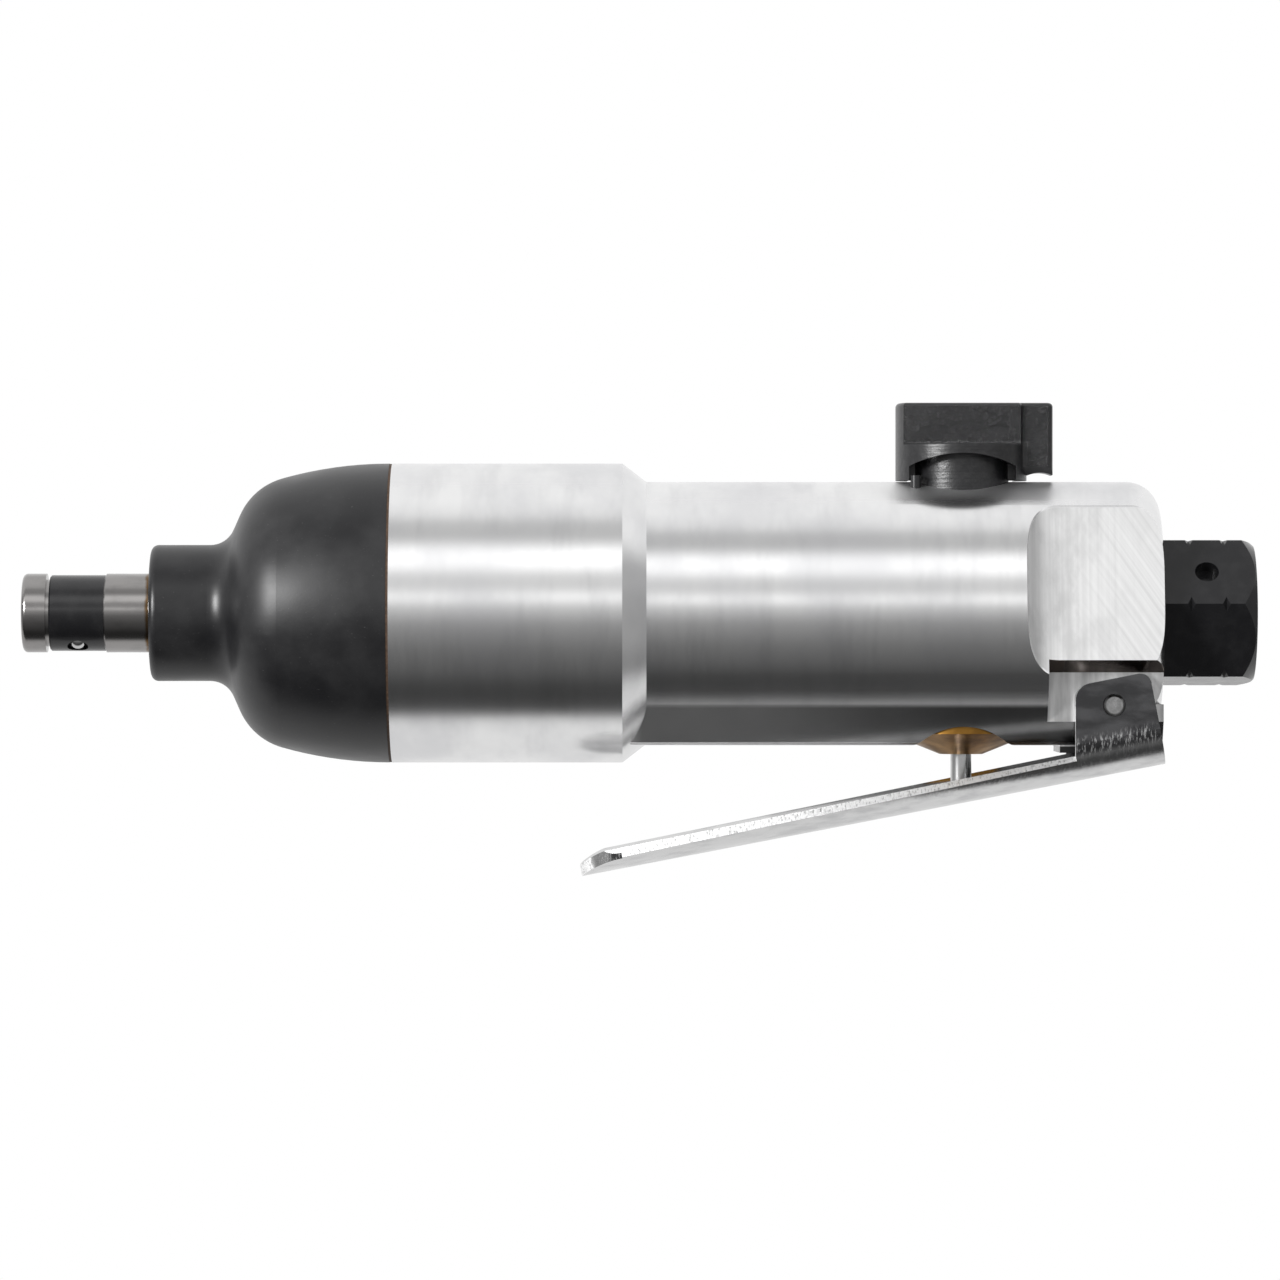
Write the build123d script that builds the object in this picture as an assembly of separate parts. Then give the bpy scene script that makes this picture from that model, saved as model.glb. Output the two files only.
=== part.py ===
# Reversible pneumatic impact screwdriver with a lever throttle, in millimetres.
# X is the tool axis, the origin is the centre of the air inlet's mouth and the tool points to -X.
# Z is up, with the reverse knob on top and the throttle lever below.

import os
from math import cos, pi, radians, sin, tan

from build123d import *

# Fits
STATIC_GAP = 0.02
RUNNING_GAP = 0.05
END_GAP = 0.2

# Stations along the tool axis
REAR_FACE_X = -13.1
THROTTLE_X = -40.5
MOTOR_REAR_X = -53.0
CONE_REAR_X = -84.2
MOTOR_FRONT_X = -88.0
CASE_REAR_X = -87.5
CASE_FRONT_X = -119.45
GASKET_THICK = 0.35
COLLAR_FACE_X = -152.9
ANVIL_REACH = 17.8

# Housing
BARREL_R = 18.2
CASE_R = 20.76
REAR_CORNER_R = 4.5
BARREL_WALL = 3.7
CASE_WALL = 2.96
KEEL_CREASE_ANGLE = 43.8146
KEEL_DROP = 0.06
KEEL_HALF_WIDTH = 8.3
KEEL_CORNER_R = 1.2
PAD_CUT = 4.6
PAD_TILT = 12.7
PAD_FRONT_X = -27.5
PAD_CUTTER_R = 4.7
EAR_SIDE_GAP = 0.1
EAR_FLAT_ABOVE_PIVOT = 4.5
EAR_FLAT_FRONT_X = -29.1
EAR_LEDGE_SLOPE = 21.4
BOSS_FRONT_X = -27.2
BOSS_REAR_X = -16.0
BOSS_HALF_WIDTH = 8.0
BOSS_DROP = 1.04

# Nose cover
COLLAR_R = 9.45
COLLAR_EDGE_R = 1.0
NOSE_LONG_R = 55.0
NOSE_LONG_TURN = 15.8
SHOULDER_R = 9.0
FLANK_ANGLE = 66.0
ROOT_R = 3.6
NOSE_WALL = 3.46
NOSE_CAVITY_LENGTH = 9.2
NOSE_CAVITY_END_R = 11.0
NOSE_CAVITY_END_X = -137.0
SPIGOT_LENGTH = 6.6
SPIGOT_WALL = 1.6

# Anvil and bit retainer
ANVIL_R = 5.475
ANVIL_EDGE_R = 0.7
TIP_RING_LENGTH = 3.3
RETAINER_GAP = 0.5
RETAINER_LENGTH = 7.6
RETAINER_R = 5.27
RETAINER_WALL = 0.6
RETAINER_HOLE_R = 1.45
HEX_SOCKET_AF = 6.4
HEX_SOCKET_DEPTH = 14.2
BALL_R = 1.25
BALL_SETBACK = 7.7
BALL_LIP_HEIGHT = 0.15
BALL_LIP_WIDTH = 0.25
BALL_BELOW_SIDE = 63.0
BALL_STANDS_IN = 0.3
ANVIL_SHOULDER_R = 7.0
ANVIL_BODY_R = 5.2
ANVIL_JAW_R = 7.0
ANVIL_JAW_HALF_ANGLE = 20.0
BUSHING_WALL = 2.0
BUSHING_LIP = 1.0

# Hammer mechanism
CAGE_SIDE_GAP = 0.6
CAGE_BAR_DEPTH = 1.6
CAGE_BAR_HALF_ANGLE = 22.0
CAGE_DISC_THICK = 4.0
CAGE_REAR_X = -89.2
CAGE_LENGTH = 38.8
HAMMER_PIN_R = 1.7
HAMMER_PIN_EDGE = 3.4
HAMMER_SIDE_GAP = 1.6
HAMMER_HOLE_R = 7.6
HAMMER_LUG_R = 3.0
HAMMER_NOTCH_R = 3.1
HAMMER_DOG_R = 6.4
HAMMER_DOG_START = 45.0
HAMMER_DOG_END = 70.0

# Motor
LINER_WALL = 3.5
ROTOR_OFFSET = 1.1
ROTOR_WALL_GAP = 0.1
LINER_LENGTH = 17.0
LINER_PORT_R = 1.6
REAR_PLATE_THICK = 9.0
BEARING_WIDTH = 6.0
BEARING_R = 9.5
BEARING_RING = 2.0
BEARING_SHIELD_RECESS = 0.4
REAR_SHAFT_R = 3.0
FRONT_SHAFT_R = 4.0
DRIVE_HEX_AF = 7.0
VANE_COUNT = 5
VANE_THICK = 1.5
VANE_HEIGHT = 4.4
VANE_TIP_GAP = 0.1
DOWEL_R = 1.2
DOWEL_EDGE = 1.9
DOWEL_ENTRY = 2.0

# Throttle
CAP_R = 10.1
CAP_POCKET_GAP = 0.4
CAP_SEAT_HEIGHT = 5.21
CAP_RIM_HEIGHT = 3.65
CAP_CONE_ANGLE = 22.0
CAP_FLAT_R = 3.0
CAP_BOSS_LENGTH = 4.05
THROTTLE_BORE_R = 5.0
THROTTLE_BORE_TOP_Z = 0.8
STEM_R = 1.45
STEM_STANDS_OUT = 6.19
STEM_END_R = 0.5
SEAT_THICK = 1.5
SEAT_HOLE_R = 2.2
VALVE_R = 3.6
VALVE_THICK = 1.9
VALVE_GUIDE_R = 1.2
VALVE_GUIDE_LENGTH = 1.6
THROTTLE_SPRING_R = 2.6
THROTTLE_SPRING_WIRE_R = 0.3
THROTTLE_SPRING_TURNS = 4
ORING_WIRE_R = 0.55

# Lever, in its own frame: along from the pivot to the tip, up away from the outside of its web
LEVER_SLOPE = 11.04
PIVOT_X = -20.0
PIVOT_ABOVE_KEEL = 5.56
LEVER_SHEET = 1.5
LEVER_DEPTH = 9.37
LEVER_REACH = 76.3
LEVER_REAR = 5.6
LEVER_HALF_WIDTH = 12.7
EAR_BEND_R = 5.0
EAR_TOP = 3.6
EAR_FRONT_TOP = 4.7
EAR_FRONT_FOOT = 6.5
EAR_FRONT_CORNER_R = 2.4
EAR_REAR_CORNER_R = 1.5
RIM_ANGLE_AT_EARS = 64.0
RIM_ANGLE_AT_TIP = 26.0
TIP_ARC_R = 16.0
TIP_FLAT = 1.0
TIP_CORNER_R = 6.0
PIN_R = 1.47
PIN_OVERHANG = 0.75
PIN_CHAMFER = 0.3
EAR_HOLE_GAP = 0.08

# Reverse knob
KNOB_R = 9.1
KNOB_RUNNING_GAP = 0.15
KNOB_HEIGHT = 10.75
KNOB_BASE_HEIGHT = 4.95
GRIP_HALF_THICK = 4.1
GRIP_EDGE_R = 0.6
GRIP_CORNER_R = 1.0
POINTER_REACH = 12.6
POINTER_HALF_THICK = 3.5
POINTER_LIFT = 0.75
POINTER_BEVEL = 1.2
POINTER_NOTCH_R = 4.0
POINTER_NOTCH_DEPTH = 0.35
WINDOW_HALF_WIDTH = 7.4
WINDOW_SPRING_HEIGHT = 1.95
WINDOW_CROWN_HEIGHT = 3.7
SPOOL_R = 6.6
SPOOL_BOTTOM_Z = 4.0
SPOOL_PORT_R = 2.0
STOP_PIN_R = 0.75
STOP_PIN_RADIUS = 8.3
STOP_PIN_ANGLE = 39.0
STOP_PIN_STANDS_OUT = 0.8
STOP_PIN_LENGTH = 4.0
DETENT_BELOW_TOP = 4.6
DETENT_BALL_R = 1.25
DETENT_WIRE_R = 0.2
DETENT_TURNS = 3
SPOOL_RING_LIFT = 2.0

# Air inlet
HEX_AF = 19.0
HEX_CORNER_ELEVATION = 6.5
HEX_FACE_R = 9.3
HEX_CHAMFER_LENGTH = 1.9
HEX_GROOVE_XS = (-9.2, -4.4)
HEX_GROOVE_WIDTH = 1.1
HEX_HOLE_R = 1.65
HEX_HOLE_X = -6.9
HEX_HOLE_DEPTH = 2.0
INLET_BORE_R = 5.72
INLET_BORE_LENGTH = 10.0
INLET_PASSAGE_R = 4.2
INLET_SPIGOT_R = 8.5
INLET_SPIGOT_LENGTH = 13.4
INLET_RING_SETBACK = 2.0
SCREEN_THICK = 0.6
SCREEN_HOLE_R = 0.8
SCREEN_PITCH = 2.4
AIRWAY_R = 2.4
AIRWAY_Z = -2.2

# Places worked out from the sizes above
MOTOR_BORE_R = BARREL_R - BARREL_WALL
HAMMER_BORE_R = CASE_R - CASE_WALL
KEEL_CREASE_Y = BARREL_R * cos(radians(KEEL_CREASE_ANGLE))
KEEL_CREASE_Z = -BARREL_R * sin(radians(KEEL_CREASE_ANGLE))
KEEL_BOTTOM_Z = -BARREL_R - KEEL_DROP
PAD_DEPTH = BARREL_R - PAD_CUT
BOSS_BOTTOM_Z = KEEL_BOTTOM_Z - BOSS_DROP
PIVOT_Z = KEEL_BOTTOM_Z + PIVOT_ABOVE_KEEL
EAR_FLAT_Y = LEVER_HALF_WIDTH - LEVER_SHEET - EAR_SIDE_GAP
EAR_FLAT_TOP_Z = PIVOT_Z + EAR_FLAT_ABOVE_PIVOT
NOSE_CAVITY_R = CASE_R - NOSE_WALL
ANVIL_TIP_X = COLLAR_FACE_X - ANVIL_REACH
BALL_X = ANVIL_TIP_X + BALL_SETBACK
CAGE_R = HAMMER_BORE_R - SPIGOT_WALL - CAGE_SIDE_GAP
HAMMER_PIN_OFFSET = CAGE_R - HAMMER_PIN_EDGE
HAMMER_R = CAGE_R - CAGE_BAR_DEPTH - HAMMER_SIDE_GAP
LINER_BORE_R = MOTOR_BORE_R - LINER_WALL
ROTOR_R = LINER_BORE_R - ROTOR_OFFSET - ROTOR_WALL_GAP
VANE_ROOT_R = ROTOR_R - VANE_TIP_GAP - VANE_HEIGHT
DOWEL_OFFSET = MOTOR_BORE_R - DOWEL_EDGE
CAP_POCKET_R = CAP_R + CAP_POCKET_GAP
CAP_TOP_Z = KEEL_BOTTOM_Z + CAP_SEAT_HEIGHT
CAP_RIM_Z = CAP_TOP_Z - CAP_RIM_HEIGHT
STEM_BOTTOM_Z = KEEL_BOTTOM_Z - STEM_STANDS_OUT
KNOB_BOTTOM_Z = BARREL_R + KNOB_RUNNING_GAP
KNOB_TOP_Z = KNOB_BOTTOM_Z + KNOB_HEIGHT
KNOB_BASE_TOP_Z = KNOB_BOTTOM_Z + KNOB_BASE_HEIGHT
POINTER_BOTTOM_Z = KNOB_BOTTOM_Z + POINTER_LIFT
WINDOW_SPRING_Z = KNOB_BOTTOM_Z + WINDOW_SPRING_HEIGHT
WINDOW_CROWN_Z = KNOB_BOTTOM_Z + WINDOW_CROWN_HEIGHT
STOP_PIN_TOP_Z = BARREL_R + STOP_PIN_STANDS_OUT
DETENT_Z = BARREL_R - DETENT_BELOW_TOP
SPOOL_RING_Z = (DETENT_Z + SPOOL_BOTTOM_Z) / 2 + SPOOL_RING_LIFT
GASKET_FRONT_X = CASE_FRONT_X - GASKET_THICK
CAGE_FRONT_X = CAGE_REAR_X - CAGE_LENGTH
HAMMER_SPACE_REAR_X = CAGE_REAR_X - CAGE_DISC_THICK
HAMMER_SPACE_FRONT_X = CAGE_FRONT_X + CAGE_DISC_THICK
LINER_REAR_X = MOTOR_REAR_X - REAR_PLATE_THICK
LINER_FRONT_X = LINER_REAR_X - LINER_LENGTH
FRONT_BEARING_REAR_X = MOTOR_FRONT_X + BEARING_WIDTH
SEAT_BOTTOM_Z = CAP_TOP_Z + CAP_BOSS_LENGTH
SEAT_TOP_Z = SEAT_BOTTOM_Z + SEAT_THICK
VALVE_BOTTOM_Z = SEAT_TOP_Z + RUNNING_GAP
VALVE_TOP_Z = VALVE_BOTTOM_Z + VALVE_THICK
RETAINER_FRONT_X = ANVIL_TIP_X + TIP_RING_LENGTH + RETAINER_GAP
RETAINER_REAR_X = RETAINER_FRONT_X + RETAINER_LENGTH
BALL_RADIUS_OUT = HEX_SOCKET_AF / 2 - BALL_STANDS_IN + BALL_R
HAMMER_MIDDLE_X = (HAMMER_SPACE_REAR_X + HAMMER_SPACE_FRONT_X) / 2
PIN_HALF_LENGTH = LEVER_HALF_WIDTH + PIN_OVERHANG


def rod_x(radius, x0, x1, y=0.0, z=0.0):
    return Pos((x0 + x1) / 2, y, z) * Cylinder(radius, abs(x1 - x0), rotation=(0, 90, 0))


def rod_y(radius, y0, y1, x=0.0, z=0.0):
    return Pos(x, (y0 + y1) / 2, z) * Cylinder(radius, abs(y1 - y0), rotation=(90, 0, 0))


def rod_z(radius, z0, z1, x=0.0, y=0.0):
    return Pos(x, y, (z0 + z1) / 2) * Cylinder(radius, abs(z1 - z0))


def block(x0, x1, y0, y1, z0, z1):
    middle = Pos((x0 + x1) / 2, (y0 + y1) / 2, (z0 + z1) / 2)
    return middle * Box(abs(x1 - x0), abs(y1 - y0), abs(z1 - z0))


def prism_x(points, x0, x1):
    """Extrude a polygon of (y, z) points from x0 to x1."""
    outline = Polyline([(x0, y, z) for y, z in points], close=True)
    return extrude(make_face(outline), amount=abs(x1 - x0), dir=(1 if x1 > x0 else -1, 0, 0))


def prism_y(points, y0, y1):
    """Extrude a polygon of (x, z) points from y0 to y1."""
    outline = Polyline([(x, y0, z) for x, z in points], close=True)
    return extrude(make_face(outline), amount=abs(y1 - y0), dir=(0, 1 if y1 > y0 else -1, 0))


def turned_x(points):
    """Turn a polygon of (x, radius) points about the tool axis."""
    return revolve(make_face(Polyline([(x, 0, r) for x, r in points], close=True)), Axis.X)


def turned_z(points, x):
    """Turn a polygon of (radius, z) points about a vertical axis at x."""
    axis = Axis((x, 0, 0), (0, 0, 1))
    return revolve(make_face(Polyline([(x + r, 0, z) for r, z in points], close=True)), axis)


def hexagon_x(across_flats, x0, x1, corner_elevation):
    """A hexagonal bar along the tool axis with one corner raised from -Y by the given angle."""
    corner_r = across_flats / 2 / cos(pi / 6)
    corners = []
    for side in range(6):
        angle = radians(corner_elevation + 60 * side)
        corners.append((-corner_r * cos(angle), corner_r * sin(angle)))
    return prism_x(corners, x0, x1)


def coil(start, direction, length, radius, wire_r, turns):
    """A round-wire compression spring between two ends on one line."""
    path = Helix(pitch=length / turns, height=length, radius=radius, center=start, direction=direction)
    section = Plane(origin=path @ 0, z_dir=path % 0) * Circle(wire_r)
    return sweep(section, path=path, is_frenet=True)


def circular_edges_at_x(solid, x):
    """The circular edges that lie in the plane at x."""
    return [edge for edge in solid.edges().filter_by(GeomType.CIRCLE) if abs(edge.center().X - x) < 0.01
            and abs(edge.bounding_box().size.X) < 0.01]


# Housing

def side_pad_cut():
    """The milled flat on one side, with the round run-out that the cutter leaves at its front."""
    far = BARREL_R + PAD_CUTTER_R
    rear = REAR_FACE_X + 1
    corner = (PAD_FRONT_X, PAD_DEPTH)
    run_out_end = (PAD_FRONT_X - PAD_CUTTER_R, PAD_DEPTH + PAD_CUTTER_R)
    run_out_mid = (PAD_FRONT_X - PAD_CUTTER_R * sin(pi / 4), PAD_DEPTH + PAD_CUTTER_R * (1 - cos(pi / 4)))
    outline = [
        Line((rear, PAD_DEPTH), corner),
        ThreePointArc(corner, run_out_mid, run_out_end),
        Line(run_out_end, (run_out_end[0], far)),
        Line((run_out_end[0], far), (rear, far)),
        Line((rear, far), (rear, PAD_DEPTH)),
    ]
    across = extrude(make_face(outline), amount=BARREL_R, both=True)
    tilt = radians(PAD_TILT)
    facing_out = Plane(origin=(0, 0, 0), x_dir=(1, 0, 0), z_dir=(0, -sin(tilt), -cos(tilt)))
    return facing_out * across


def ear_seat_cut():
    """The slot for a lever ear: an upright flat below a sloping ledge."""
    outside = BARREL_R + 2
    ledge_rise = (outside - EAR_FLAT_Y) * tan(radians(EAR_LEDGE_SLOPE))
    points = [
        (-EAR_FLAT_Y, EAR_FLAT_TOP_Z),
        (-outside, EAR_FLAT_TOP_Z + ledge_rise),
        (-outside, KEEL_BOTTOM_Z - 2),
        (-EAR_FLAT_Y, KEEL_BOTTOM_Z - 2),
    ]
    return prism_x(points, EAR_FLAT_FRONT_X, REAR_FACE_X + 1)


def housing_outside():
    shell = turned_x([
        (REAR_FACE_X, 0), (REAR_FACE_X, BARREL_R), (CONE_REAR_X, BARREL_R),
        (CASE_REAR_X, CASE_R), (CASE_FRONT_X, CASE_R), (CASE_FRONT_X, 0),
    ])
    shell = fillet(circular_edges_at_x(shell, REAR_FACE_X), REAR_CORNER_R)
    keel = prism_x([
        (-KEEL_CREASE_Y, KEEL_CREASE_Z), (-KEEL_HALF_WIDTH, KEEL_BOTTOM_Z),
        (KEEL_HALF_WIDTH, KEEL_BOTTOM_Z), (KEEL_CREASE_Y, KEEL_CREASE_Z),
    ], REAR_FACE_X, CASE_REAR_X + 1)
    keel = fillet(keel.edges().filter_by(Axis.X).sort_by(Axis.Z)[:2], KEEL_CORNER_R)
    boss = block(BOSS_FRONT_X, BOSS_REAR_X, -BOSS_HALF_WIDTH, BOSS_HALF_WIDTH,
                 BOSS_BOTTOM_Z, KEEL_BOTTOM_Z + 1)
    body = shell + keel + boss
    for cut in (side_pad_cut(), ear_seat_cut()):
        body = body - cut - mirror(cut, Plane.XZ)
    return body


def housing():
    body = housing_outside()
    body -= rod_x(MOTOR_BORE_R, MOTOR_REAR_X, MOTOR_FRONT_X - 1)
    body -= rod_x(HAMMER_BORE_R, MOTOR_FRONT_X, CASE_FRONT_X - 1)
    inlet_floor_x = REAR_FACE_X - INLET_SPIGOT_LENGTH - SCREEN_THICK - STATIC_GAP
    body -= rod_x(INLET_SPIGOT_R, REAR_FACE_X + 1, inlet_floor_x)
    body -= rod_z(CAP_POCKET_R, KEEL_BOTTOM_Z - 1, CAP_TOP_Z, THROTTLE_X)
    body -= rod_z(THROTTLE_BORE_R, CAP_TOP_Z - 1, THROTTLE_BORE_TOP_Z, THROTTLE_X)
    body -= rod_z(SPOOL_R + RUNNING_GAP, SPOOL_BOTTOM_Z - END_GAP, BARREL_R + 1, THROTTLE_X)
    body -= rod_x(AIRWAY_R, inlet_floor_x + 1, THROTTLE_X, z=AIRWAY_Z)
    body -= rod_z(SPOOL_PORT_R, THROTTLE_BORE_TOP_Z - 1, SPOOL_BOTTOM_Z, THROTTLE_X)
    for side in (-1, 1):
        body -= rod_x(LINER_PORT_R, THROTTLE_X, MOTOR_REAR_X - 1, y=side * SPOOL_PORT_R * 2, z=SPOOL_R)
    body -= rod_x(DETENT_BALL_R + RUNNING_GAP, THROTTLE_X, MOTOR_REAR_X - 1, z=DETENT_Z)
    body -= rod_y(PIN_R + STATIC_GAP, -LEVER_HALF_WIDTH, LEVER_HALF_WIDTH, PIVOT_X, PIVOT_Z)
    pin_x, pin_y = stop_pin_place()
    pin_bottom_z = STOP_PIN_TOP_Z - STOP_PIN_LENGTH
    body -= rod_z(STOP_PIN_R + STATIC_GAP, pin_bottom_z - STATIC_GAP, BARREL_R + 1, pin_x, pin_y)
    return body


def inlet_bushing():
    spigot_front_x = REAR_FACE_X - INLET_SPIGOT_LENGTH
    corner_r = HEX_AF / 2 / cos(pi / 6)
    half = HEX_GROOVE_WIDTH / 2
    envelope = turned_x([(REAR_FACE_X, 0), (REAR_FACE_X, corner_r + 1), (-HEX_CHAMFER_LENGTH, corner_r + 1),
                         (-HEX_CHAMFER_LENGTH, corner_r), (0, HEX_FACE_R), (0, 0)])
    body = hexagon_x(HEX_AF, REAR_FACE_X, 0, HEX_CORNER_ELEVATION) & envelope
    for x in HEX_GROOVE_XS:
        body -= turned_x([(x, corner_r - half), (x - half - 1, corner_r + 1), (x + half + 1, corner_r + 1)])
    flat_elevation = radians(HEX_CORNER_ELEVATION + 30)
    outward = (0, -cos(flat_elevation), sin(flat_elevation))
    drill = Plane(origin=(HEX_HOLE_X, 0, 0), z_dir=outward)
    floor_r = HEX_AF / 2 - HEX_HOLE_DEPTH
    body -= drill * rod_z(HEX_HOLE_R, floor_r, HEX_AF)
    body += rod_x(INLET_SPIGOT_R - STATIC_GAP, spigot_front_x, REAR_FACE_X)
    body -= rod_x(INLET_BORE_R, -INLET_BORE_LENGTH, 1)
    body -= rod_x(INLET_PASSAGE_R, spigot_front_x - 1, -INLET_BORE_LENGTH + 1)
    groove_rear_x = REAR_FACE_X - INLET_RING_SETBACK
    groove_front_x = groove_rear_x - 2 * (ORING_WIRE_R + RUNNING_GAP)
    groove_floor_r = INLET_SPIGOT_R - 2 * (ORING_WIRE_R + RUNNING_GAP)
    groove = rod_x(INLET_SPIGOT_R + 1, groove_rear_x, groove_front_x)
    return body - (groove - rod_x(groove_floor_r, groove_rear_x + 1, groove_front_x - 1))


def inlet_oring():
    centre_x = REAR_FACE_X - INLET_RING_SETBACK - ORING_WIRE_R - RUNNING_GAP
    ring_r = INLET_SPIGOT_R - ORING_WIRE_R - RUNNING_GAP
    return Pos(centre_x, 0, 0) * Torus(ring_r, ORING_WIRE_R, rotation=(0, 90, 0))


def inlet_screen():
    rear_x = REAR_FACE_X - INLET_SPIGOT_LENGTH
    front_x = rear_x - SCREEN_THICK
    disc = rod_x(INLET_SPIGOT_R - RUNNING_GAP, rear_x, front_x)
    disc -= rod_x(SCREEN_HOLE_R, rear_x + 1, front_x - 1)
    for step in range(6):
        angle = radians(60 * step)
        y, z = SCREEN_PITCH * cos(angle), SCREEN_PITCH * sin(angle)
        disc -= rod_x(SCREEN_HOLE_R, rear_x + 1, front_x - 1, y, z)
    return disc


# Nose

def nose_cover():
    long_turn = radians(NOSE_LONG_TURN)
    flank = radians(FLANK_ANGLE)
    drop = CASE_R - COLLAR_R
    arcs_drop = NOSE_LONG_R * (1 - cos(long_turn)) + SHOULDER_R * (cos(long_turn) - cos(flank))
    flank_length = (drop - arcs_drop - ROOT_R * (1 - cos(flank))) / sin(flank)
    top = JernArc((GASKET_FRONT_X, CASE_R), (-1, 0), NOSE_LONG_R, NOSE_LONG_TURN)
    shoulder = JernArc(top @ 1, top % 1, SHOULDER_R, FLANK_ANGLE - NOSE_LONG_TURN)
    flank_line = Line(shoulder @ 1, (shoulder @ 1) + (shoulder % 1) * flank_length)
    root = JernArc(flank_line @ 1, flank_line % 1, ROOT_R, -FLANK_ANGLE)
    face_corner = (COLLAR_FACE_X + COLLAR_EDGE_R, COLLAR_R)
    collar = Line(root @ 1, face_corner)
    edge = JernArc(face_corner, (-1, 0), COLLAR_EDGE_R, 90)
    front = Line(edge @ 1, (COLLAR_FACE_X, 0))
    axis_line = Line((COLLAR_FACE_X, 0), (GASKET_FRONT_X, 0))
    rear = Line((GASKET_FRONT_X, 0), (GASKET_FRONT_X, CASE_R))
    profile = make_face([top, shoulder, flank_line, root, collar, edge, front, axis_line, rear])
    body = revolve(Plane.XZ * profile, Axis.X)
    spigot_rear_x = GASKET_FRONT_X + SPIGOT_LENGTH
    body += rod_x(HAMMER_BORE_R - STATIC_GAP, GASKET_FRONT_X - 1, spigot_rear_x)
    cavity_front_x = GASKET_FRONT_X - NOSE_CAVITY_LENGTH
    spigot_bore_r = HAMMER_BORE_R - SPIGOT_WALL
    body -= rod_x(spigot_bore_r, GASKET_FRONT_X - 1, spigot_rear_x + 1)
    body -= turned_x([
        (GASKET_FRONT_X - 1, 0), (GASKET_FRONT_X - 1, NOSE_CAVITY_R), (cavity_front_x, NOSE_CAVITY_R),
        (NOSE_CAVITY_END_X, NOSE_CAVITY_END_R), (NOSE_CAVITY_END_X, 0),
    ])
    bush_r = ANVIL_R + RUNNING_GAP + BUSHING_WALL + STATIC_GAP
    body -= rod_x(bush_r, NOSE_CAVITY_END_X + 1, COLLAR_FACE_X + BUSHING_LIP)
    body -= rod_x(ANVIL_R + END_GAP, NOSE_CAVITY_END_X, COLLAR_FACE_X - 1)
    return body


def joint_gasket():
    ring = rod_x(CASE_R - RUNNING_GAP, CASE_FRONT_X, GASKET_FRONT_X)
    return ring - rod_x(HAMMER_BORE_R, CASE_FRONT_X + 1, GASKET_FRONT_X - 1)


def anvil_bushing():
    rear_x = NOSE_CAVITY_END_X
    front_x = COLLAR_FACE_X + BUSHING_LIP + RUNNING_GAP
    bush = rod_x(ANVIL_R + RUNNING_GAP + BUSHING_WALL, rear_x, front_x)
    return bush - rod_x(ANVIL_R + RUNNING_GAP, rear_x + 1, front_x - 1)


# Anvil and bit retainer

def ball_direction():
    below = radians(BALL_BELOW_SIDE)
    return Vector(0, -cos(below), -sin(below))


def anvil():
    seat_r = RETAINER_R - RETAINER_WALL - STATIC_GAP
    shoulder_front_x = NOSE_CAVITY_END_X + RUNNING_GAP
    shoulder_rear_x = HAMMER_SPACE_FRONT_X - END_GAP
    rear_x = HAMMER_SPACE_REAR_X - END_GAP
    body = turned_x([
        (ANVIL_TIP_X, 0), (ANVIL_TIP_X, ANVIL_R), (RETAINER_FRONT_X - RETAINER_GAP, ANVIL_R),
        (RETAINER_FRONT_X - RETAINER_GAP, seat_r), (RETAINER_REAR_X + END_GAP, seat_r),
        (RETAINER_REAR_X + END_GAP, ANVIL_R), (shoulder_front_x, ANVIL_R),
        (shoulder_front_x, ANVIL_SHOULDER_R), (shoulder_rear_x, ANVIL_SHOULDER_R),
        (shoulder_rear_x, ANVIL_BODY_R), (rear_x, ANVIL_BODY_R), (rear_x, 0),
    ])
    body = fillet(circular_edges_at_x(body, ANVIL_TIP_X), ANVIL_EDGE_R)
    half_width = ANVIL_JAW_R * sin(radians(ANVIL_JAW_HALF_ANGLE))
    jaws = ((1, HAMMER_MIDDLE_X + END_GAP, rear_x), (-1, shoulder_rear_x, HAMMER_MIDDLE_X - END_GAP))
    for sense, x0, x1 in jaws:
        jaw = rod_x(ANVIL_JAW_R, x0, x1)
        body += jaw & block(x0, x1, -half_width, half_width, 0, sense * ANVIL_JAW_R)
    socket_corner = 30 - BALL_BELOW_SIDE
    body -= hexagon_x(HEX_SOCKET_AF, ANVIL_TIP_X - 1, ANVIL_TIP_X + HEX_SOCKET_DEPTH, socket_corner)
    toward_ball = Plane(origin=(BALL_X, 0, 0), z_dir=ball_direction())
    mouth_top = HEX_SOCKET_AF / 2 + BALL_LIP_HEIGHT
    body -= toward_ball * rod_z(BALL_R - BALL_LIP_WIDTH, HEX_SOCKET_AF / 2 - 1, mouth_top)
    body -= toward_ball * rod_z(BALL_R + RUNNING_GAP, mouth_top, ANVIL_R + 1)
    return body


def retainer_sleeve():
    band = rod_x(RETAINER_R, RETAINER_FRONT_X, RETAINER_REAR_X)
    band -= rod_x(RETAINER_R - RETAINER_WALL, RETAINER_FRONT_X - 1, RETAINER_REAR_X + 1)
    outer = circular_edges_at_x(band, RETAINER_FRONT_X)
    outer = [edge for edge in outer if edge.radius > RETAINER_R - RETAINER_WALL / 2]
    band = chamfer(outer, RETAINER_WALL / 3)
    toward_ball = Plane(origin=(BALL_X, 0, 0), z_dir=ball_direction())
    return band - toward_ball * rod_z(RETAINER_HOLE_R, 0, RETAINER_R + 1)


def bit_ball():
    centre = Vector(BALL_X, 0, 0) + ball_direction() * BALL_RADIUS_OUT
    return Pos(*centre) * Sphere(BALL_R)


# Hammer mechanism

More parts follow.
